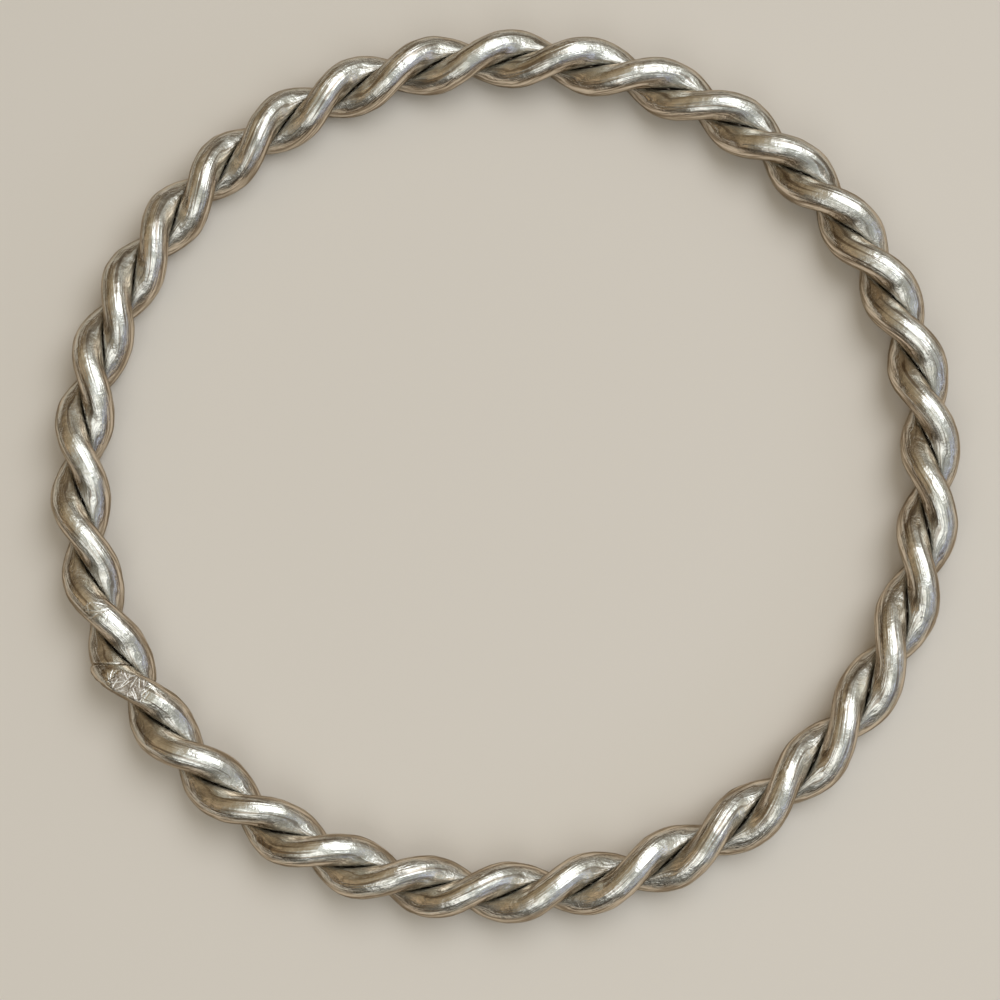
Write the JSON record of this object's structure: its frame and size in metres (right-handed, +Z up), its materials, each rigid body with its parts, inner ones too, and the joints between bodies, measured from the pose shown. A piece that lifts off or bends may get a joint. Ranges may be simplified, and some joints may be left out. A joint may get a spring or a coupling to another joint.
{
  "type": "twisted wire bangle",
  "caption": "Closed rigid bangle of two round silver wires twisted together like a rope, bent into a ring and soldered at one joint.",
  "frame": {"origin": "middle of the ring, on the surface that the bangle lies on", "axes": "+Z up, along the axis of the opening that the hand goes through; +X and +Y in the plane of the ring"},
  "size_m": [0.0747, 0.0748, 0.0049],
  "materials": {
    "silver_wire": "worn polished sterling silver, tarnished grey in the grooves",
    "silver_wire_soldered": "worn polished sterling silver with a filed, scratched solder joint"
  },
  "bodies": {
    "root": {"strand_a": "silver_wire", "strand_b": "silver_wire_soldered"}
  },
  "joints": []
}
